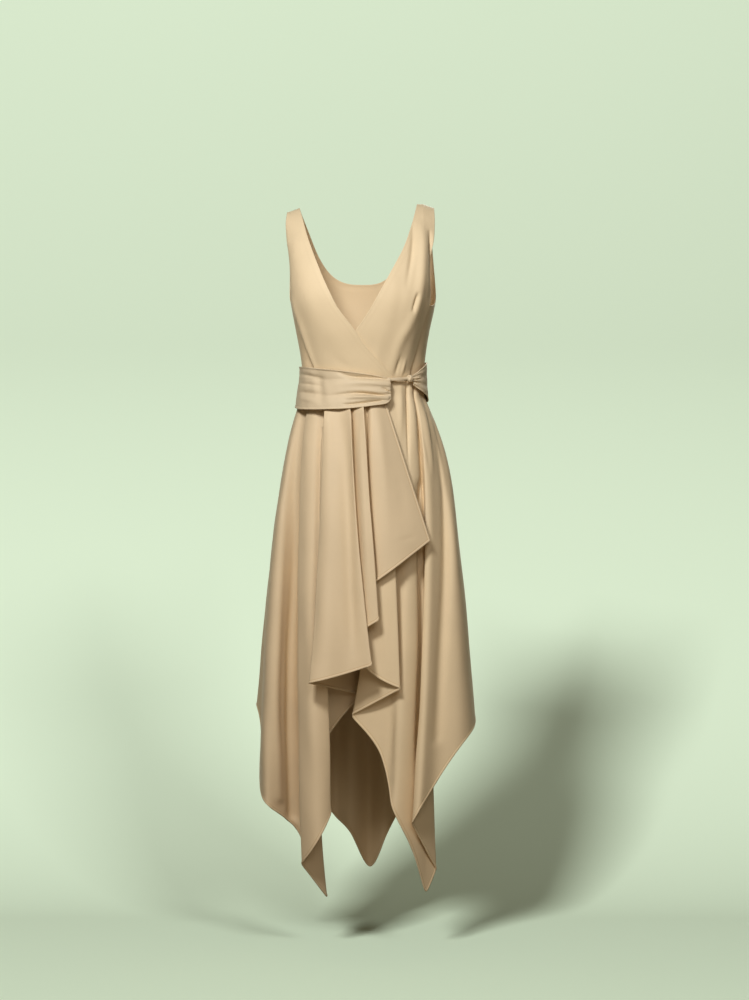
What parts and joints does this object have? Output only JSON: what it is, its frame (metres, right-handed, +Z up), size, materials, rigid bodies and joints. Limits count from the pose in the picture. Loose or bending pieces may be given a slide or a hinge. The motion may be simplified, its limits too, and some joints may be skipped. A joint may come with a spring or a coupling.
{
  "type": "wrap dress",
  "caption": "Sleeveless crossover wrap dress with a deep V neck, a knotted waist sash and a pleated handkerchief-hem skirt, held open in its worn form.",
  "frame": {"origin": "midway between the two shoulder straps at the height of their crests, on the wearer's centre line", "axes": "+Z up, +Y to the wearer's back, -Y to the front, -X to the wearer's right"},
  "size_m": [0.4403, 0.3822, 1.3777],
  "materials": {
    "crepe": "soft matte crepe with a faint sheen",
    "crepe_back": "soft matte crepe with a faint sheen",
    "sash_crepe": "smooth crepe with a soft sheen"
  },
  "bodies": {
    "root": {"bodice_front_over": "crepe", "bodice_front_under": "crepe", "bodice_back": "crepe_back", "skirt_front_over": "crepe", "skirt_front_under": "crepe", "skirt_back": "crepe_back", "sash_front": "sash_crepe", "sash_back": "sash_crepe", "sash_end": "sash_crepe", "sash_tie": "sash_crepe", "sash_knot": "sash_crepe"}
  },
  "joints": []
}
